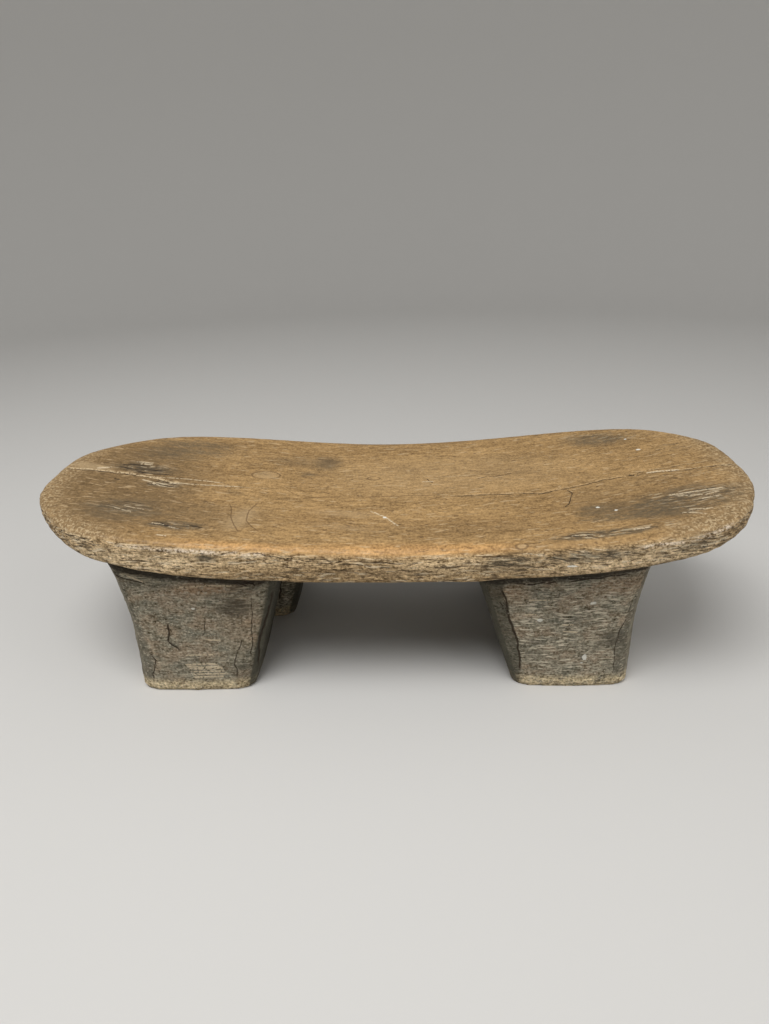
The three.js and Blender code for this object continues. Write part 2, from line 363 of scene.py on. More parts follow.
FRONT_SCRATCHES = (
    Mark([(-132, 20), (-121, 20.8), (-110, 20.4)], 0.8),
    Mark([(-130, 17.4), (-118, 18), (-107, 17.8)], 0.7),
    Mark([(-129, 15.1), (-106, 15.4)], 0.6),
    Mark([(-128, 12.9), (-104, 13)], 0.7),
    Mark([(-128, 10.7), (-107, 10.9)], 0.6),
    Mark([(-132, 27.4), (-121, 27.9), (-111, 27.6)], 0.5),
    Mark([(-117, 39), (-106, 38.4)], 0.6),
    Mark([(-158, 85.6), (-152, 82.5), (-146, 79.4)], 0.6),
    Mark([(-130, 76.2), (-110, 77.6), (-94, 77.4)], 0.6),
    Mark([(79, 53.7), (87, 53.7)], 0.6),
    Mark([(102, 46.4), (110, 46.3)], 0.5),
    Mark([(103, 41.6), (113, 41)], 0.5),
    Mark([(81, 63.9), (95, 63.9)], 0.5),
    Mark([(172, 104), (180, 105), (190, 107)], 0.8),
    Mark([(150, 103.6), (160, 104.6), (167, 105.4)], 0.6),
)
# Where fibres are torn up, where stains and grey dirt lie, and where the wood is browner or paler
TOP_TORN = (
    Patch((-172, 15), (22, 9), -5, 0.85),
    Patch((-151, -8), (13, 5), 0, 0.9),
    Patch((-163, -45), (18, 8), 0, 0.5),
    Patch((-136, -64), (8, 4), 0, 1.0),
    Patch((-116, -65), (9, 4), 0, 0.9),
    Patch((186, -41), (28, 11), 4, 0.75),
    Patch((160, -38), (14, 5), 4, 0.6),
    Patch((184, -56), (22, 8), 0, 0.6),
    Patch((118, -78), (30, 4.5), 2, 1.0),
    Patch((150, -74), (14, 4), 2, 0.8),
    Patch((160, 66), (30, 7), -15, 0.5),
    Patch((190, -12), (28, 6), 5, 0.4),
)
TOP_STAINS = (
    Patch((-48, 43), (11, 13), 0, 1.0),
    Patch((-66, 44), (26, 10), 0, 0.5),
    Patch((-150, 50), (44, 20), 12, 0.3),
    Patch((-59, 22), (5, 4), 0, 0.6),
    Patch((-152, -48), (46, 18), 0, 0.35),
    Patch((134, -48), (20, 9), 0, 0.6),
    Patch((162, -54), (24, 14), 0, 0.5),
    Patch((186, -44), (30, 16), 5, 0.4),
    Patch((150, 62), (28, 13), -15, 0.45),
)
TOP_GREYS = (
    Patch((-150, 54), (40, 20), 12, 0.7),
    Patch((-172, 16), (22, 11), -5, 0.8),
    Patch((-153, -9), (12, 4), 0, 0.8),
    Patch((-163, -48), (28, 15), 0, 0.6),
    Patch((-128, -64), (18, 7), 0, 0.8),
    Patch((184, -43), (30, 15), 5, 0.75),
    Patch((162, -53), (28, 16), 0, 0.8),
    Patch((128, -52), (22, 12), 0, 0.6),
    Patch((122, -78), (30, 5), 2, 1.0),
    Patch((150, 62), (26, 13), -15, 0.7),
    Patch((196, 32), (14, 12), 0, 0.4),
)
TOP_BROWNS = (
    Patch((-178, -12), (62, 80), 0, 0.9),
    Patch((-120, -50), (60, 30), 0, 0.6),
    Patch((12, -81), (24, 5), 0, 0.9),
    Patch((-70, -80), (16, 4), 0, 0.6),
    Patch((-59, 22), (4.5, 3.5), 0, 1.0),
    Patch((-104, -13), (8, 5), 0, 0.7),
    Patch((-103, -57), (5, 3), 0, 0.8),
    Patch((76, 46), (16, 9), 0, 0.5),
    Patch((150, -35), (60, 40), 0, 0.5),
    Patch((30, -62), (80, 14), 0, 0.4),
    Patch((190, 20), (26, 30), 0, 0.3),
)
TOP_PALES = (
    Patch((-207, 12), (16, 5), -8, 1.0),
    Patch((-88, 17.5), (9, 6), 0, 0.7),
    Patch((-92, -50), (7, 17), -12, 0.8),
    Patch((-28, -37), (22, 5), -4, 0.5),
    Patch((-29, -56), (18, 4), -12, 0.4),
    Patch((40, 20), (90, 34), 0, 0.3),
    Patch((74, -84), (2.6, 1.6), 0, 0.9),
)
FRONT_GREYS = (
    Patch((-105, 101.5), (6, 2.6), 0, 1.0),
    Patch((66, 97), (14, 2.6), 4, 0.9),
    Patch((110, 100), (26, 3), 5, 1.0),
    Patch((168, 104), (10, 4), 15, 1.0),
    Patch((-95, 62), (11, 8), 0, 0.9),
    Patch((-88, 76), (12, 5), 0, 0.8),
    Patch((-128, 22), (20, 9), 0, 0.5),
    Patch((-97, 16), (9, 8), 0, 0.7),
    Patch((134, 35), (9, 7), 0, 0.8),
    Patch((86, 30), (7, 12), 0, 0.6),
    Patch((112, 55), (22, 10), 0, 0.5),
    Patch((-163, 88), (14, 8), 0, 0.5),
)
FRONT_TORN = (
    Patch((66, 97), (16, 3), 4, 1.0),
    Patch((108, 100), (34, 3.5), 5, 1.0),
    Patch((170, 105), (26, 6), 12, 0.9),
    Patch((205, 113), (18, 8), 30, 0.8),
    Patch((-207, 114), (20, 9), -15, 0.9),
    Patch((-180, 106), (20, 7), -15, 0.6),
    Patch((-160, 85), (26, 6), -10, 0.8),
    Patch((-95, 62), (11, 8), 0, 0.6),
    Patch((-88, 78), (12, 5), 0, 0.8),
)
FRONT_STAINS = (
    Patch((-105, 102), (6.5, 2.2), 0, 1.0),
    Patch((-94, 62), (9, 7), 0, 0.8),
    Patch((134, 35), (8, 8), 0, 0.5),
    Patch((-20, 90), (110, 3), 0, 0.4),
    Patch((66, 92), (16, 5), 0, 0.6),
)
FRONT_LIGHTS = (
    Patch((-150, 99), (60, 9), 0, 1.0),
    Patch((-181, 113), (11, 5), -10, 1.0),
    Patch((-60, 99), (60, 5), 0, 0.5),
    Patch((60, 95), (60, 5), 0, 0.6),
    Patch((140, 97), (60, 8), 5, 1.0),
)
FRONT_TANS = (
    Patch((-113, 75), (22, 4), 0, 1.0),
    Patch((136, 73), (18, 6), 10, 0.8),
    Patch((74, 68), (9, 9), 0, 0.6),
    Patch((-92, 52), (14, 22), 0, 0.4),
)
FRONT_FIBRES = (
    Patch((108, 42), (46, 55), 0, 1.0),
    Patch((-118, 17), (26, 12), 0, 0.6),
    Patch((-110, 70), (40, 12), 0, 0.4),
)
# Small chalky specks
TOP_SPECKS = (
    Speck((126, -44), (1.5, 1.3)),
    Speck((135, -50), (1.0, 1.0)),
    Speck((173, 36), (1.8, 1.2)),
    Speck((170, 57), (1.2, 1.4)),
    Speck((-4, -42), (1.2, 1.2)),
)
FRONT_SPECKS = (
    Speck((102, 94.4), (3.2, 0.8)),
    Speck((89.5, 49.5), (2.4, 1.3)),
    Speck((120, 61.3), (2.3, 1.2)),
    Speck((118.4, 22), (1.4, 2.0)),
    Speck((117, 18), (1.4, 0.7)),
    Speck((129.3, 65), (0.9, 0.8)),
    Speck((132.2, 65.3), (1.0, 0.8)),
    Speck((-120.4, 61.5), (1.2, 0.8)),
)


def clear_start_scene():
    """Removes whatever Blender opens with, and leaves the frame."""
    kept = {*frame["nodes"].values(), *frame["bodies"].values()}
    for item in list(bpy.context.scene.objects):
        if item not in kept:
            bpy.data.objects.remove(item)


def lattice_noise(spots, cell, seed):
    """Smooth random values from -1 to 1. A bump of the pattern is as large as cell, along X, Y and Z."""
    table = np.random.default_rng(seed).uniform(-1, 1, (LATTICE,) * 3)
    steps = spots / np.array(cell, float)
    low = np.floor(steps).astype(int)
    share = steps - low
    share = share * share * (3 - 2 * share)
    total = np.zeros(len(spots))
    for corner in itertools.product((0, 1), repeat=3):
        weight = np.prod(np.where(corner, share, 1 - share), axis=1)
        i, j, k = ((low + corner) % LATTICE).T
        total += weight * table[i, j, k]
    return total


def fade(values, start, end):
    """0 at start and beyond, 1 at end and beyond, and a soft step between."""
    share = np.clip((values - start) / (end - start), 0, 1)
    return share * share * (3 - 2 * share)


def line_offset(spots, path):
    """How far each spot lies beside a line, with a sign for the side, and its place along it from 0 to 1."""
    points = np.array(path, float)
    lengths = np.hypot(*np.diff(points, axis=0).T)
    starts = np.concatenate([[0], np.cumsum(lengths)])
    nearest = np.full(len(spots), np.inf)
    offset = np.zeros(len(spots))
    along = np.zeros(len(spots))
    for start, end, begun, length in zip(points, points[1:], starts, lengths):
        run = (end - start) / length
        reach = np.clip((spots - start) @ run, 0, length)
        gap = spots - (start + reach[:, None] * run)
        away = np.hypot(*gap.T)
        side = np.where(run[0] * gap[:, 1] - run[1] * gap[:, 0] < 0, -1, 1)
        nearer = away < nearest
        nearest = np.where(nearer, away, nearest)
        offset = np.where(nearer, side * away, offset)
        along = np.where(nearer, (begun + reach) / starts[-1], along)
    return offset, along


class MarkField:
    """The nearest of many marks to every spot: how far off it is, how strong, how wide and how deep."""

    def __init__(self, spots, wander):
        count = len(spots)
        self.spots = spots
        self.wander = wander
        self.offset = np.full(count, NO_MARK)
        self.strength = np.zeros(count)
        self.width = np.full(count, 1.0)
        self.depth = np.zeros(count)
        self.lip = np.zeros(count)

    def add(self, marks, axes, where):
        """Lays marks over the spots. The axes are the two that the marks' places are given along."""
        for mark in marks:
            offset, along = line_offset(self.spots[:, axes], mark.path)
            offset = offset + self.wander
            taper = fade(along, 0, TAPER) * fade(along, 1, 1 - TAPER)
            self.keep(offset, taper * where, mark)
        return self

    def add_rings(self, rings, axes, where):
        for ring in rings:
            offset = (oval_reach(self.spots[:, axes], ring.centre, ring.reach, 0) - 1) * min(ring.reach)
            self.keep(offset + self.wander, where, Mark(None, RING_WIDTH))
        return self

    def keep(self, offset, strength, mark):
        """Takes over the spots that lie nearer to this mark than to any before it."""
        reach = MARK_REACH + LIP_REACH * mark.lip
        strength = strength * fade(np.abs(offset), reach + 1, reach)
        nearer = (np.abs(offset) < np.abs(self.offset)) & (strength > 0)
        taken = dict(offset=offset, strength=strength, width=mark.width, depth=mark.depth, lip=mark.lip)
        for name, value in taken.items():
            setattr(self, name, np.where(nearer, value, getattr(self, name)))


def oval_reach(spots, centre, reach, turn):
    """Distance from an oval's middle, as a share of the way to its edge."""
    angle = math.radians(turn)
    gap = spots - np.array(centre)
    along = (gap[:, 0] * math.cos(angle) + gap[:, 1] * math.sin(angle)) / reach[0]
    across = (gap[:, 1] * math.cos(angle) - gap[:, 0] * math.sin(angle)) / reach[1]
    return np.hypot(along, across)


def patches(spots, group):
    """The strongest of several soft-edged patches at every spot."""
    total = np.zeros(len(spots))
    for patch in group:
        away = oval_reach(spots, patch.centre, patch.reach, patch.turn)
        total = np.maximum(total, patch.strength * fade(away, 1.4, 0.4))
    return total


def nearest_speck(spots, group, where):
    """Distance to the nearest speck's middle, as a share of the way to its edge."""
    away = np.min([oval_reach(spots, speck.centre, speck.reach, 0) for speck in group], axis=0)
    return np.where(where > 0.5, np.minimum(away, NO_SPECK), NO_SPECK)


def underside(spots):
    """Height of the seat's underside over every spot."""
    along = np.abs(spots[:, 0]) / SEAT_HALF_LENGTH
    level = UNDERSIDE_MIDDLE + UNDERSIDE_END_RISE * along ** UNDERSIDE_CURVE
    return level + REAR_RIM_RISE * spots[:, 1] / SEAT_HALF_WIDTH


def rim_gap(spots):
    """Roughly how far every spot lies inside the seat's edge."""
    x, y = np.abs(spots[:, 0]), np.abs(spots[:, 1])
    share = (x / SEAT_HALF_LENGTH) ** SEAT_SQUARENESS + (y / SEAT_HALF_WIDTH) ** SEAT_SQUARENESS
    share = np.maximum(share, 1e-6) ** (1 / SEAT_SQUARENESS)
    return np.hypot(x, y) * (1 / share - 1)


def read_spots(mesh):
    spots = np.zeros(len(mesh.vertices) * 3)
    mesh.vertices.foreach_get("co", spots)
    return spots.reshape(-1, 3) / MM


def write_spots(mesh, spots):
    mesh.vertices.foreach_set("co", (spots * MM).ravel())
    mesh.update()


def read_facing(mesh):
    facing = np.zeros(len(mesh.vertices) * 3)
    mesh.vertex_normals.foreach_get("vector", facing)
    return facing.reshape(-1, 3)


def read_number(mesh, name):
    values = np.zeros(len(mesh.vertices), np.float32)
    mesh.attributes[name].data.foreach_get("value", values)
    return values.astype(float)


def add_number(mesh, name, values):
    attribute = mesh.attributes.new(name, "FLOAT", "POINT")
    attribute.data.foreach_set("value", np.asarray(values, np.float32))


def finished(piece, modifier_kind, **settings):
    """Runs one modifier on a piece and keeps the result as the piece's mesh."""
    modifier = piece.modifiers.new("step", modifier_kind)
    for name, value in settings.items():
        setattr(modifier, name, value)
    graph = bpy.context.evaluated_depsgraph_get()
    mesh = bpy.data.meshes.new_from_object(piece.evaluated_get(graph))
    piece.modifiers.clear()
    piece.data = mesh
    return mesh


def blank_stool():
    """The stool as the frame has it, meshed evenly and with its facets eased."""
    mesh = frame["nodes"]["carved_stool"].data.copy()
    shape = bmesh.new()
    shape.from_mesh(mesh)
    bmesh.ops.remove_doubles(shape, verts=shape.verts, dist=SAME_PLACE * MM)
    shape.to_mesh(mesh)
    shape.free()
    mesh.materials.clear()
    stool = bpy.data.objects.new("carved_stool_wood", mesh)
    bpy.context.scene.collection.objects.link(stool)
    finished(stool, "REMESH", mode="VOXEL", voxel_size=VOXEL * MM)
    finished(stool, "SMOOTH", factor=SMOOTHING, iterations=LIGHT_PASSES)
    up = read_facing(stool.data)[:, 2]
    group = stool.vertex_groups.new(name="broad")
    group.add(np.nonzero(up > BROAD_FACING)[0].tolist(), 1, "REPLACE")
    finished(stool, "SMOOTH", factor=SMOOTHING, iterations=BROAD_PASSES, vertex_group="broad")
    stool.vertex_groups.clear()
    return stool


def zones(spots, facing):
    """Shares from 0 to 1 of each kind of surface at every spot.

    Each fade starts and ends at a place in millimetres or at a share of facing one way.
    """
    x, y, z = spots.T
    gap = rim_gap(spots)
    below_rim = underside(spots) - z
    front_half = fade(y, 0, -20)
    front_edge = fade(y, -40, -65)
    ridge = x - np.interp(z, RIDGE_HEIGHTS, RIDGE_PLACES)
    right_facet = x - np.interp(z, RIGHT_FACET_HEIGHTS, RIGHT_FACET_PLACES)
    left_facet = np.interp(z, LEFT_FACET_HEIGHTS, LEFT_FACET_PLACES) - x
    leg = fade(below_rim, -0.5, 1.5) * fade(np.abs(x), LEGS_REACH, LEGS_REACH - 6)
    top = fade(facing[:, 2], 0.35, 0.75) * (1 - leg)
    below = fade(facing[:, 2], -0.6, -0.9)
    return dict(
        leg=leg,
        top=top,
        below=below,
        side=(1 - top) * (1 - leg) * (1 - below),
        front=fade(facing[:, 1], -0.2, -0.6),
        back=fade(facing[:, 1], 0.2, 0.6),
        inner=fade(facing[:, 0] * np.sign(x), -0.25, -0.6) * leg,
        endwise=fade(np.abs(facing[:, 0]), 0.45, 0.75) * leg,
        front_edge=front_edge,
        corner=fade(ridge, 0.8, -1.2) * fade(x, 0, 20) * front_half * leg,
        facet=fade(np.maximum(right_facet, left_facet), -1.2, 1.2) * front_half * leg,
        ends=fade(gap, 24, 1) * fade(np.abs(x) + 0.3 * np.abs(y), 165, 200) * fade(y, 80, 30) * (1 - leg),
        lip=fade(gap, 17, 8) * front_edge * fade(np.abs(x + 24), 115, 75) * top,
        polish=fade(gap, 12, 7) * front_edge * fade(np.abs(x + 75), 120, 60) * top,
        foot=fade(z, 11, 5) * leg,
        crease=fade(below_rim, 9, 3) * leg,
        seam=fade(np.abs(below_rim), 3.6, 0.6) * fade(np.abs(np.abs(x) - LEG_MIDDLE), 62, 45),
    )


def find_marks(spots, zone):
    """Where the cracks, the thin lines, the pale scratches and the painted gloss highlight run."""
    slow = SLOW_TURN.reach * lattice_noise(spots, SLOW_TURN.cell, SLOW_TURN.seed)
    quick = QUICK_TURN.reach * lattice_noise(spots, QUICK_TURN.cell, QUICK_TURN.seed)
    wander = slow + quick
    plan, elevation = (0, 1), (0, 2)
    front = zone["front"]
    cracks = MarkField(spots, wander).add(TOP_CRACKS, plan, zone["top"]).add(FRONT_CRACKS, elevation, front)
    cracks.add(BACK_CRACKS, elevation, zone["back"] * zone["leg"])
    lines = MarkField(spots, LINE_WANDER * wander).add(THIN_LINES, plan, zone["top"])
    lines.add_rings(THIN_RINGS, plan, zone["top"])
    scratches = MarkField(spots, SCRATCH_WANDER * wander).add(TOP_SCRATCHES, plan, zone["top"])
    scratches.add(FRONT_SCRATCHES, elevation, front)
    gloss = MarkField(spots, GLOSS_WANDER * wander).add(FRONT_GLOSS, elevation, zone["front_edge"])
    return dict(crack=cracks, line=lines, scratch=scratches, gloss=gloss)


def find_specks(spots, zone):
    top = nearest_speck(spots[:, (0, 1)], TOP_SPECKS, zone["top"])
    return np.minimum(top, nearest_speck(spots[:, (0, 2)], FRONT_SPECKS, zone["front"] * (1 - zone["top"])))


def keep_inside(spots, box):
    """Holds every spot inside the frame's box, and the feet on the floor."""
    low = box[0] + CLEARANCE * np.array((1, 1, 0))
    return np.clip(spots, low, box[1] - CLEARANCE)


def carve(stool, box):
    """Gives the blank its hand-made unevenness: wavering faces, torn fibres, worn ends and open cracks.

    The marked spots keep their fine mesh, and the rest is thinned out.
    """
    mesh = stool.data
    spots = read_spots(mesh)
    facing = read_facing(mesh)
    zone = zones(spots, facing)
    marks = find_marks(spots, zone)
    cracks, scratches = marks["crack"], marks["scratch"]
    surfaces = dict(
        top=zone["top"],
        side=zone["side"],
        leg=zone["leg"],
        rough=zone["side"] + zone["leg"] * (1 - zone["below"]),
        worn_ends=zone["ends"] * (1 - 0.5 * zone["top"]),
        underside=zone["below"] * (1 - zone["leg"]),
    )
    rise = np.zeros(len(spots))
    for relief in RELIEFS:
        rise += relief.height * lattice_noise(spots, relief.cell, relief.seed) * surfaces[relief.surface]
    width = np.maximum(cracks.width, LEAST_CUT)
    rise -= cracks.depth * cracks.strength * np.exp(-(cracks.offset / width) ** 2)
    rise -= SEAM_DEPTH * zone["seam"]
    ridges = scratches.strength * np.exp(-(scratches.offset / RIDGE_WIDTH) ** 2) * zone["leg"]
    rise += RIDGE_HEIGHT * ridges
    rise *= fade(spots[:, 2], NO_RELIEF, FULL_RELIEF)
    spots += rise[:, None] * facing
    standing = (spots[:, 2] < FOOT_EDGE) & (facing[:, 2] < -0.5)
    spots[standing, 2] = 0
    write_spots(mesh, keep_inside(spots, box))
    for name, values in zip(FACINGS, facing.T):
        add_number(mesh, name, values)
    group = stool.vertex_groups.new(name="marked")
    marked = np.any([field.strength > 0 for field in marks.values()], axis=0)
    marked |= find_specks(spots, zone) < 2
    group.add(np.nonzero(marked)[0].tolist(), 1, "REPLACE")
    ratio = MOST_TRIANGLES / (2 * len(mesh.polygons))
    mesh = finished(stool, "DECIMATE", ratio=ratio, vertex_group="marked", invert_vertex_group=True)
    stool.vertex_groups.clear()
    write_spots(mesh, keep_inside(read_spots(mesh), box))


def mark_zones(stool):
    """Writes what the finish needs to know about every spot into the mesh."""
    mesh = stool.data
    spots = read_spots(mesh)
    facing = np.stack([read_number(mesh, name) for name in FACINGS], axis=1)
    zone = zones(spots, facing)
    marks = find_marks(spots, zone)
    plan, elevation = spots[:, (0, 1)], spots[:, (0, 2)]
    top = zone["top"]
    front = zone["front"] * (1 - top)
    for name in sorted(zone.keys() - {"top", "side", "front", "back", "front_edge"}):
        add_number(mesh, name, zone[name])
    add_number(mesh, "side", np.clip(zone["side"] + zone["below"], 0, 1))
    for name, on_top, on_front in (
        ("grey", TOP_GREYS, FRONT_GREYS),
        ("brown", TOP_BROWNS, ()),
        ("torn", TOP_TORN, FRONT_TORN),
        ("stain", TOP_STAINS, FRONT_STAINS),
        ("pale", TOP_PALES, ()),
        ("light", (), FRONT_LIGHTS),
    ):
        add_number(mesh, name, patches(plan, on_top) * top + patches(elevation, on_front) * front)
    add_number(mesh, "tan", patches(elevation, FRONT_TANS) * front + BACK_TAN * zone["back"])
    fibrous = np.where(spots[:, 1] < 0, patches(elevation, FRONT_FIBRES), 1)
    add_number(mesh, "fibrous", fibrous * zone["leg"] * (1 - zone["facet"]))
    # Painted shadow: a wavering line just below the rim, where the legs go in under it
    below_rim = underside(spots) - spots[:, 2]
    below_rim += UNDERCUT_WAVER * lattice_noise(spots, UNDERCUT_CELL, UNDERCUT_SEED)
    undercut = np.where(spots[:, 0] < 0, UNDERCUT_LEFT, UNDERCUT_RIGHT) - below_rim
    add_number(mesh, "undercut", fade(undercut, -1, 1) * zone["leg"])
    add_number(mesh, "speck", find_specks(spots, zone))
    for name, field in marks.items():
        add_number(mesh, name, field.offset / field.width)
        add_number(mesh, name + "_strength", field.strength)
    add_number(mesh, "crack_lip", marks["crack"].lip)
    add_number(mesh, "crack_depth", marks["crack"].depth)


class Recipe:
    """Adds a material's nodes one at a time and joins them up. A value is a number, a colour or a socket."""

    def __init__(self, material):
        material.use_nodes = True
        self.nodes = material.node_tree.nodes
        self.links = material.node_tree.links

    def add(self, kind, **settings):
        node = self.nodes.new(kind)
        for name, value in settings.items():
            setattr(node, name, value)
        return node

    def feed(self, socket, value):
        if isinstance(value, bpy.types.NodeSocket):
            self.links.new(value, socket)
        else:
            socket.default_value = value

    def number(self, name):
        """One of the numbers that the mesh holds for every spot."""
        return self.add("ShaderNodeAttribute", attribute_name=name).outputs["Fac"]

    def sum(self, operation, *values):
        node = self.add("ShaderNodeMath", operation=operation)
        for socket, value in zip(node.inputs, values):
            self.feed(socket, value)
        return node.outputs[0]

    def times(self, *values):
        total = values[0]
        for value in values[1:]:
            total = self.sum("MULTIPLY", total, value)
        return total

    def vector_sum(self, operation, *values):
        node = self.add("ShaderNodeVectorMath", operation=operation)
        for socket, value in zip(node.inputs, values):
            self.feed(socket, value)
        return node.outputs[0]

    def noise(self, at, cell, detail=2.0, roughness=0.5):
        """A cloudy pattern from 0 to 1, whose blobs are as large as cell."""
        share = self.vector_sum("DIVIDE", at, cell)
        node = self.add("ShaderNodeTexNoise")
        self.feed(node.inputs["Vector"], share)
        self.feed(node.inputs["Scale"], 1.0)
        self.feed(node.inputs["Detail"], detail)
        self.feed(node.inputs["Roughness"], roughness)
        return node.outputs[0]

    def fade(self, value, start, end):
        """A soft step from 0 at start to 1 at end."""
        node = self.add("ShaderNodeMapRange", interpolation_type="SMOOTHSTEP")
        self.feed(node.inputs["Value"], value)
        self.feed(node.inputs["From Min"], start)
        self.feed(node.inputs["From Max"], end)
        return node.outputs["Result"]

    def ragged(self, share, pattern, spread):
        """A soft share broken up by a pattern, so that it thins and thickens with the pattern's shapes."""
        broken = self.sum("MULTIPLY_ADD", self.sum("SUBTRACT", pattern, 0.5), spread * 2, share)
        return self.times(self.fade(broken, 0.1, 1.0), self.fade(share, 0, 0.25))

    def thin(self, name, edge, core):
        """How much of a mark drawn along a line shows, from its middle out to its edge."""
        offset = self.sum("ABSOLUTE", self.number(name))
        return self.times(self.fade(offset, edge, core), self.number(name + "_strength"))

    def blend(self, share, under, over):
        """Puts one colour over another. A share of 0 leaves the one under it, and 1 covers it."""
        node = self.add("ShaderNodeMix", data_type="RGBA")
        sockets = {socket.identifier: socket for socket in node.inputs}
        self.feed(sockets["Factor_Float"], share)
        for name, value in (("A_Color", under), ("B_Color", over)):
            self.feed(sockets[name], value if isinstance(value, bpy.types.NodeSocket) else (*value, 1))
        return next(socket for socket in node.outputs if socket.identifier == "Result_Color")

    def scatter(self, under, over, pattern, start, end, *shares):
        """Puts one colour over another as a pattern goes from start to end, lessened by each share."""
        return self.blend(self.times(self.fade(pattern, start, end), *shares), under, over)

    def cover(self, under, over, name, strength):
        """Puts one colour over another where one of the mesh's own numbers says so."""
        return self.blend(self.times(self.number(name), strength), under, over)

    def shade(self, colour, *swings):
        """Makes a colour lighter and darker with patterns. A swing is a pattern and how far it reaches."""
        factor = 1.0
        for pattern, reach in swings:
            factor = self.sum("MULTIPLY_ADD", self.sum("SUBTRACT", pattern, 0.5), reach * 2, factor)
        change = self.sum("SUBTRACT", self.sum("MAXIMUM", factor, DARKEST), 1)
        tinted = self.vector_sum("MULTIPLY", change, SWING_TINT)
        return self.vector_sum("MULTIPLY", colour, self.vector_sum("ADD", tinted, (1, 1, 1)))


def grain_place(recipe):
    """Places in millimetres, and the same bent so that lines along X follow the grain."""
    place = recipe.add("ShaderNodeTexCoord").outputs["Object"]
    place = recipe.vector_sum("MULTIPLY", place, (1 / MM,) * 3)
    parts = recipe.add("ShaderNodeSeparateXYZ")
    recipe.feed(parts.inputs[0], place)
    x, y, z = parts.outputs
    along = recipe.sum("DIVIDE", x, SEAT_HALF_LENGTH)
    bow = recipe.times(along, along, -GRAIN_BOW)
    drift = recipe.times(recipe.sum("SUBTRACT", recipe.noise(place, DRIFT_CELL, 1.0), 0.5), GRAIN_DRIFT)
    waver = recipe.times(recipe.sum("SUBTRACT", recipe.noise(place, WAVER_CELL, 1.0), 0.5), GRAIN_WAVER)
    drift = recipe.sum("ADD", drift, waver)
    bent = recipe.add("ShaderNodeCombineXYZ")
    recipe.feed(bent.inputs["X"], x)
    recipe.feed(bent.inputs["Y"], recipe.sum("ADD", recipe.sum("ADD", y, bow), drift))
    recipe.feed(bent.inputs["Z"], recipe.sum("ADD", z, drift))
    return place, bent.outputs[0]


def aged_wood():
    """The stool's one finish: its colour, how it shines, and relief that is too fine for the mesh."""
    wood = bpy.data.materials.new("aged_wood")
    recipe = Recipe(wood)
    place, grain = grain_place(recipe)
    pattern = wood_patterns(recipe, place, grain)
    side, leg = recipe.number("side"), recipe.number("leg")
    colour = recipe.blend(side, top_colour(recipe, pattern), side_colour(recipe, pattern))
    colour = recipe.blend(leg, colour, leg_colour(recipe, pattern))
    colour = draw_wear_and_shadow(recipe, colour, pattern)
    colour = draw_marks(recipe, colour, pattern)

    shader = recipe.nodes["Principled BSDF"]
    recipe.feed(shader.inputs["Base Color"], colour)
    endwise = recipe.number("endwise")
    coarse = recipe.sum("MULTIPLY_ADD", endwise, END_FACE_COARSENESS, recipe.sum("MAXIMUM", side, leg))
    polish = recipe.times(recipe.number("polish"), recipe.fade(pattern["mottle"], 0.35, 0.6))
    roughness = recipe.sum("MULTIPLY_ADD", coarse, COARSE_ROUGHNESS, ROUGHNESS)
    roughness = recipe.sum("MULTIPLY_ADD", polish, POLISHED_ROUGHNESS, roughness)
    recipe.feed(shader.inputs["Roughness"], roughness)
    shader.inputs["Specular IOR Level"].default_value = SPECULAR
    height = 0.0
    for name, share, depth in (
        ("pits", coarse, 2.2),
        ("wisps", recipe.number("fibrous"), 1.8),
        ("grit", coarse, 0.9),
        ("fissures", side, 1.5),
        ("streaks", recipe.number("torn"), 1.5),
        ("fibres", 1.0, 0.3),
        ("hewn", endwise, 2.0),
        ("mottle", recipe.number("ends"), 0.8),
    ):
        height = recipe.sum("MULTIPLY_ADD", recipe.times(pattern[name], share), depth, height)
    bump = recipe.add("ShaderNodeBump")
    bump.inputs["Strength"].default_value = 1.0
    bump.inputs["Distance"].default_value = MM
    recipe.feed(bump.inputs["Height"], height)
    recipe.feed(shader.inputs["Normal"], bump.outputs[0])
    return wood


def wood_patterns(recipe, place, grain):
    """The patterns that the finish is mixed from, broadest first. Their cells are in millimetres.

    Some are read a little way off, so that two of one kind don't repeat each other.
    """
    elsewhere = recipe.vector_sum("ADD", grain, (31, 17, 5))
    return dict(
        clouds=recipe.noise(place, (60, 30, 30), 3.0),
        patina=recipe.noise(place, (16, 12, 9), 3.0, 0.6),
        bands=recipe.noise(grain, (50, 6, 5), 4.0, 0.6),
        fibres=recipe.noise(grain, (7, 2.2, 1.6), 3.0, 0.65),
        hairs=recipe.noise(elsewhere, (11, 2.1, 1.3), 2.0, 0.5),
        pores=recipe.noise(recipe.vector_sum("ADD", grain, (7, 3, 29)), (5, 2.2, 1.5), 2.0, 0.5),
        wisps=recipe.noise(recipe.vector_sum("ADD", grain, (13, 29, 23)), (8, 1.7, 0.95), 2.0, 0.5),
        streaks=recipe.noise(recipe.vector_sum("ADD", grain, (3, 41, 11)), (13, 2.0, 1.3), 3.0, 0.6),
        pits=recipe.noise(grain, (3.6, 1.8, 1.1), 3.0, 0.7),
        fissures=recipe.noise(elsewhere, (18, 5, 1.3), 3.0, 0.6),
        hewn=recipe.noise(place, (5, 3, 18), 4.0, 0.65),
        mottle=recipe.noise(place, (4.0, 4.0, 3.5), 4.0, 0.7),
        grit=recipe.noise(place, (1.5, 1.9, 1.5), 2.0, 0.6),
        specks=recipe.noise(recipe.vector_sum("ADD", place, (19, 7, 37)), (2.2, 2.2, 1.1), 1.0, 0.5),
    )


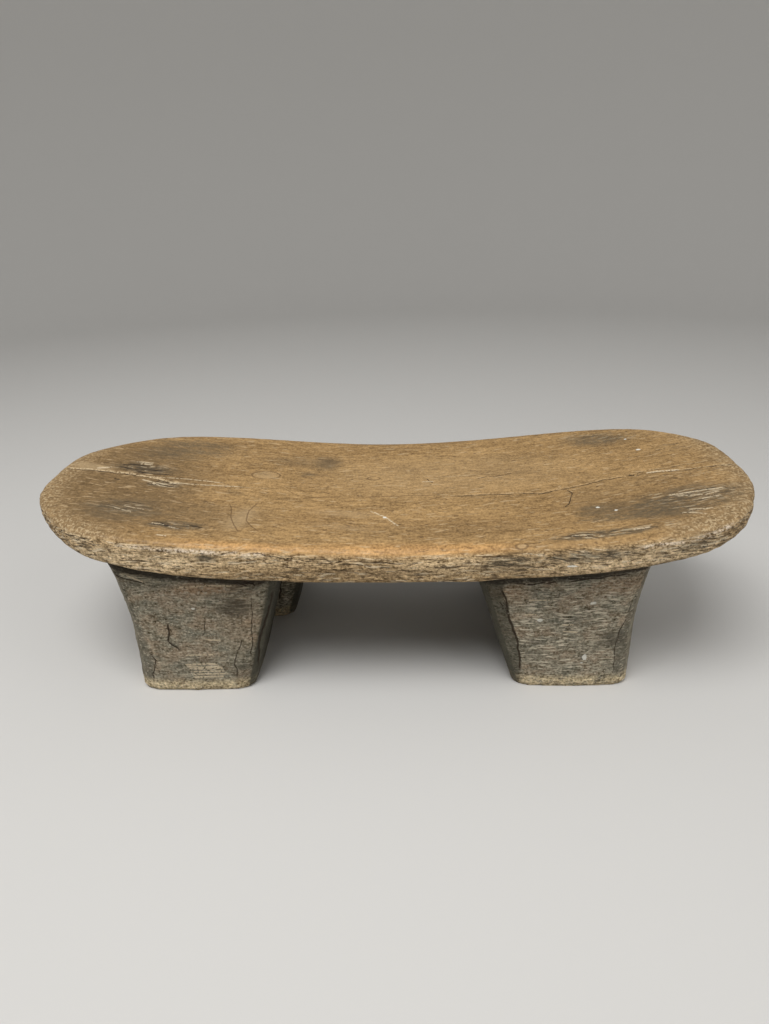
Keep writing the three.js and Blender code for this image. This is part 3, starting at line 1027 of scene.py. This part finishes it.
def top_colour(recipe, pattern):
    """The seat's worn tan top, darker in old stains and pale and mottled round the two ends."""
    tan = recipe.scatter(TAN_DEEP, TAN_BRIGHT, pattern["clouds"], 0.3, 0.7)
    brown = recipe.ragged(recipe.number("brown"), pattern["bands"], 0.5)
    tan = recipe.blend(recipe.times(brown, 0.8), tan, OLD_BROWN)
    # Rubbed orange wood with a painted highlight along the rounded front edge
    tan = recipe.scatter(tan, RUBBED_ORANGE_AND_SHEEN, pattern["clouds"], 0.2, 0.6, recipe.number("lip"), 0.65)
    tan = recipe.shade(tan, (pattern["bands"], 0.45), (pattern["fibres"], 0.8), (pattern["grit"], 0.7))
    tan = recipe.scatter(tan, PALE_HAIR, pattern["hairs"], 0.60, 0.70, 0.55)
    tan = recipe.scatter(tan, DARK_PORE, pattern["pores"], 0.37, 0.27, 0.65)
    worn = recipe.shade(WORN_END, (pattern["mottle"], 0.9), (pattern["fibres"], 0.7))
    worn = recipe.scatter(worn, WORN_SPECK, pattern["grit"], 0.50, 0.62, 0.65)
    tan = recipe.cover(tan, worn, "ends", 0.95)
    return recipe.cover(tan, PALE_WOOD, "pale", 0.5)


def side_colour(recipe, pattern):
    """The rim's rough side: tan fibres with dark pits and long fissures between them, and painted shade where
    it looks down.
    """
    tan = recipe.scatter(RIM_DEEP, RIM_BRIGHT, pattern["clouds"], 0.3, 0.7)
    tan = recipe.cover(tan, RIM_LIGHT, "light", 0.7)
    tan = recipe.shade(tan, (pattern["mottle"], 0.5), (pattern["grit"], 1.2), (pattern["fibres"], 1.2))
    tan = recipe.scatter(tan, RIM_HAIR, pattern["hairs"], 0.56, 0.66, 0.75)
    tan = recipe.scatter(tan, RIM_PIT, pattern["pits"], 0.47, 0.37, 0.8)
    tan = recipe.scatter(tan, RIM_FISSURE, pattern["fissures"], 0.44, 0.37, 0.8)
    # Painted shade: the faces that look down are darkened
    return recipe.cover(tan, PAINTED_UNDERSIDE_SHADE, "below", 0.6)


def leg_colour(recipe, pattern):
    """The legs' grey-brown faces, with pale torn fibres and a worn tan foot, and painted shade on the inner
    faces, just under the seat and in the right front leg's inner corner.
    """
    rough = recipe.sum("MULTIPLY_ADD", recipe.number("endwise"), -0.75, 1)
    fibrous = recipe.number("fibrous")
    grey = recipe.scatter(LEG_DEEP, LEG_BRIGHT, pattern["clouds"], 0.3, 0.7)
    grey = recipe.scatter(grey, LEG_WARM, pattern["patina"], 0.46, 0.62, 0.55)
    grey = recipe.scatter(grey, LEG_DULL, pattern["patina"], 0.46, 0.32, 0.55)
    grey = recipe.cover(grey, LEG_TAN, "tan", 0.6)
    grey = recipe.shade(grey, (pattern["mottle"], 0.8), (pattern["grit"], 1.3), (pattern["fibres"], 1.0))
    # Painted shade on the front legs' outer facets
    grey = recipe.cover(grey, recipe.shade(LEG_FACET, (pattern["mottle"], 0.9)), "facet", 0.6)
    hewn = recipe.shade(LEG_HEWN, (pattern["hewn"], 1.4), (pattern["mottle"], 0.8))
    grey = recipe.cover(grey, hewn, "endwise", 0.85)
    grey = recipe.scatter(grey, LEG_PIT, pattern["pits"], 0.38, 0.28, rough, 0.4)
    grey = recipe.scatter(grey, LEG_CREST, pattern["specks"], 0.58, 0.66, rough, 0.6)
    grey = recipe.scatter(grey, LEG_FIBRE, pattern["wisps"], 0.56, 0.65, fibrous, rough, 0.85)
    worn = recipe.shade(WORN_FOOT, (pattern["grit"], 1.6), (pattern["fibres"], 0.9))
    grey = recipe.scatter(grey, worn, pattern["mottle"], 0.3, 0.55, recipe.number("foot"), 0.9)
    # Painted shade: the inner faces, the band just under the seat and the right front leg's inner corner are
    # darkened
    painted_shade = recipe.sum("MAXIMUM", recipe.number("inner"), recipe.times(recipe.number("crease"), 0.3))
    painted_shade = recipe.sum("MAXIMUM", painted_shade, recipe.times(recipe.number("corner"), 0.8))
    return recipe.blend(recipe.times(painted_shade, 0.85), grey, PAINTED_LEG_SHADE)


def draw_wear_and_shadow(recipe, colour, pattern):
    """Soft stains, grey dirt, fibres torn up into pale and dark streaks, and painted shadow along the seam
    under the rim and just below it.
    """
    colour = recipe.cover(colour, STAIN, "stain", 0.65)
    grey = recipe.ragged(recipe.number("grey"), pattern["bands"], 0.9)
    colour = recipe.scatter(colour, GREY_DIRT, pattern["pits"], 0.75, 0.4, grey, 0.65)
    torn = recipe.number("torn")
    colour = recipe.scatter(colour, TORN_DARK, pattern["streaks"], 0.52, 0.42, torn, 0.75)
    colour = recipe.scatter(colour, TORN_LIGHT, pattern["streaks"], 0.55, 0.63, torn, 0.65)
    # Painted shadow: the seam under the rim, and a wavering line just below it where the legs go in, go near
    # black
    seam = recipe.times(recipe.number("seam"), recipe.fade(pattern["mottle"], 0.2, 0.45), 0.92)
    undercut = recipe.times(recipe.number("undercut"), recipe.fade(pattern["mottle"], 0.22, 0.48), 0.88)
    return recipe.blend(recipe.sum("MAXIMUM", seam, undercut), colour, PAINTED_SEAM_SHADOW)


def draw_marks(recipe, colour, pattern):
    """Cracks with their pale lips, partly painted light, the painted gloss highlight, thin lines, pale
    scratches and small white specks.
    """
    grit, mottle = pattern["grit"], pattern["mottle"]
    offset = recipe.number("crack")
    # Pale torn wood with painted light along the lit far wall behind each crack
    lip = recipe.times(recipe.fade(offset, 0.5, 1.2), recipe.fade(offset, 3.6, 1.8))
    lip = recipe.times(lip, recipe.number("crack_strength"), recipe.number("crack_lip"))
    colour = recipe.scatter(colour, CRACK_LIP, grit, 0.35, 0.55, lip, 0.75)
    # Painted highlight: a pale, near-white line along the rim's front edge
    gloss = recipe.times(recipe.thin("gloss", 1.7, 0.1), recipe.fade(pattern["bands"], 0.36, 0.6))
    colour = recipe.scatter(colour, PAINTED_GLOSS_HIGHLIGHT, grit, 0.35, 0.6, gloss, 0.8)
    held = recipe.sum("MULTIPLY_ADD", recipe.number("crack_depth"), 0.22, mottle)
    colour = recipe.scatter(colour, CRACK_BLACK, held, 0.44, 0.56, recipe.thin("crack", 1.2, 0.4), 0.9)
    colour = recipe.blend(recipe.times(recipe.thin("line", 1.5, 0.4), 0.6), colour, DARK_PORE)
    colour = recipe.scatter(colour, SCRATCH_PALE, grit, 0.36, 0.5, recipe.thin("scratch", 1.3, 0.4), 0.75)
    speck = recipe.sum("MULTIPLY_ADD", mottle, 2.0, recipe.number("speck"))
    return recipe.scatter(colour, CHALKY_SPECK, speck, 2.1, 1.7, 0.85)


def place_camera():
    """The picture's view."""
    pitch, yaw, roll = (math.radians(angle) for angle in (CAMERA_PITCH, CAMERA_YAW, CAMERA_ROLL))
    ahead = Vector((math.sin(yaw) * math.cos(pitch), math.cos(yaw) * math.cos(pitch), -math.sin(pitch)))
    level = Vector((math.cos(yaw), -math.sin(yaw), 0))
    above = level.cross(ahead)
    right = math.cos(roll) * level + math.sin(roll) * above
    up = math.cos(roll) * above - math.sin(roll) * level
    camera = bpy.data.objects.new("camera", bpy.data.cameras.new("camera"))
    bpy.context.scene.collection.objects.link(camera)
    turn = Matrix((right, up, -ahead)).transposed().to_4x4()
    camera.matrix_world = Matrix.Translation(Vector(CAMERA_PLACE) * MM) @ turn
    camera.data.sensor_width = SENSOR
    camera.data.lens = LENS
    camera.data.clip_start = NEAREST_SEEN
    bpy.context.scene.camera = camera


def build_floor():
    """A plain pale floor that sweeps up all round."""
    profile = [(0, 0), (FLOOR_RADIUS, 0)]
    for angle in np.radians(range(10, 91, 10)):
        out = FLOOR_RADIUS + SWEEP_RADIUS * math.sin(angle)
        up = SWEEP_RADIUS - SWEEP_RADIUS * math.cos(angle)
        profile.append((out, up))
    profile.append((FLOOR_RADIUS + SWEEP_RADIUS, WALL_TOP))
    shape = bmesh.new()
    row = [shape.verts.new((x, 0, z)) for x, z in profile]
    for start, end in zip(row, row[1:]):
        shape.edges.new((start, end))
    bmesh.ops.spin(
        shape, geom=shape.verts[:] + shape.edges[:], cent=(0, 0, 0), axis=(0, 0, 1),
        angle=2 * math.pi, steps=FLOOR_STEPS, use_merge=True,
    )
    bmesh.ops.remove_doubles(shape, verts=shape.verts, dist=FLOOR_SAME_PLACE)
    bmesh.ops.recalc_face_normals(shape, faces=shape.faces)
    mesh = bpy.data.meshes.new("floor")
    shape.to_mesh(mesh)
    shape.free()
    mesh.shade_smooth()
    paper = bpy.data.materials.new("pale_paper")
    paper.use_nodes = True
    shader = paper.node_tree.nodes["Principled BSDF"]
    shader.inputs["Base Color"].default_value = PAPER
    shader.inputs["Roughness"].default_value = 0.9
    mesh.materials.append(paper)
    floor = bpy.data.objects.new("floor", mesh)
    bpy.context.scene.collection.objects.link(floor)


def light_studio():
    """Soft lamps, and an even, dim light from all round."""
    for lamp in LAMPS:
        light = bpy.data.lights.new(lamp.name, "AREA")
        light.shape = "RECTANGLE"
        light.size, light.size_y = lamp.size
        light.energy = lamp.power
        item = bpy.data.objects.new(lamp.name, light)
        bpy.context.scene.collection.objects.link(item)
        item.location = lamp.place
        item.rotation_euler = (Vector(LAMP_AIM) - Vector(lamp.place)).to_track_quat("-Z", "Y").to_euler()
    world = bpy.data.worlds.new("room")
    world.use_nodes = True
    background = world.node_tree.nodes["Background"]
    background.inputs["Color"].default_value = ROOM_LIGHT
    background.inputs["Strength"].default_value = ROOM_STRENGTH
    bpy.context.scene.world = world
    bpy.context.scene.view_settings.view_transform = "Standard"


def make_stool():
    """The one visible piece, which takes the place of the frame's solid."""
    stool = blank_stool()
    carve(stool, np.array(cad_box) / MM)
    mark_zones(stool)
    stool.data.shade_smooth()
    stool.data.materials.append(aged_wood())
    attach(stool, "root")
    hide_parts("carved_stool")


clear_start_scene()
place_camera()
build_floor()
light_studio()
make_stool()
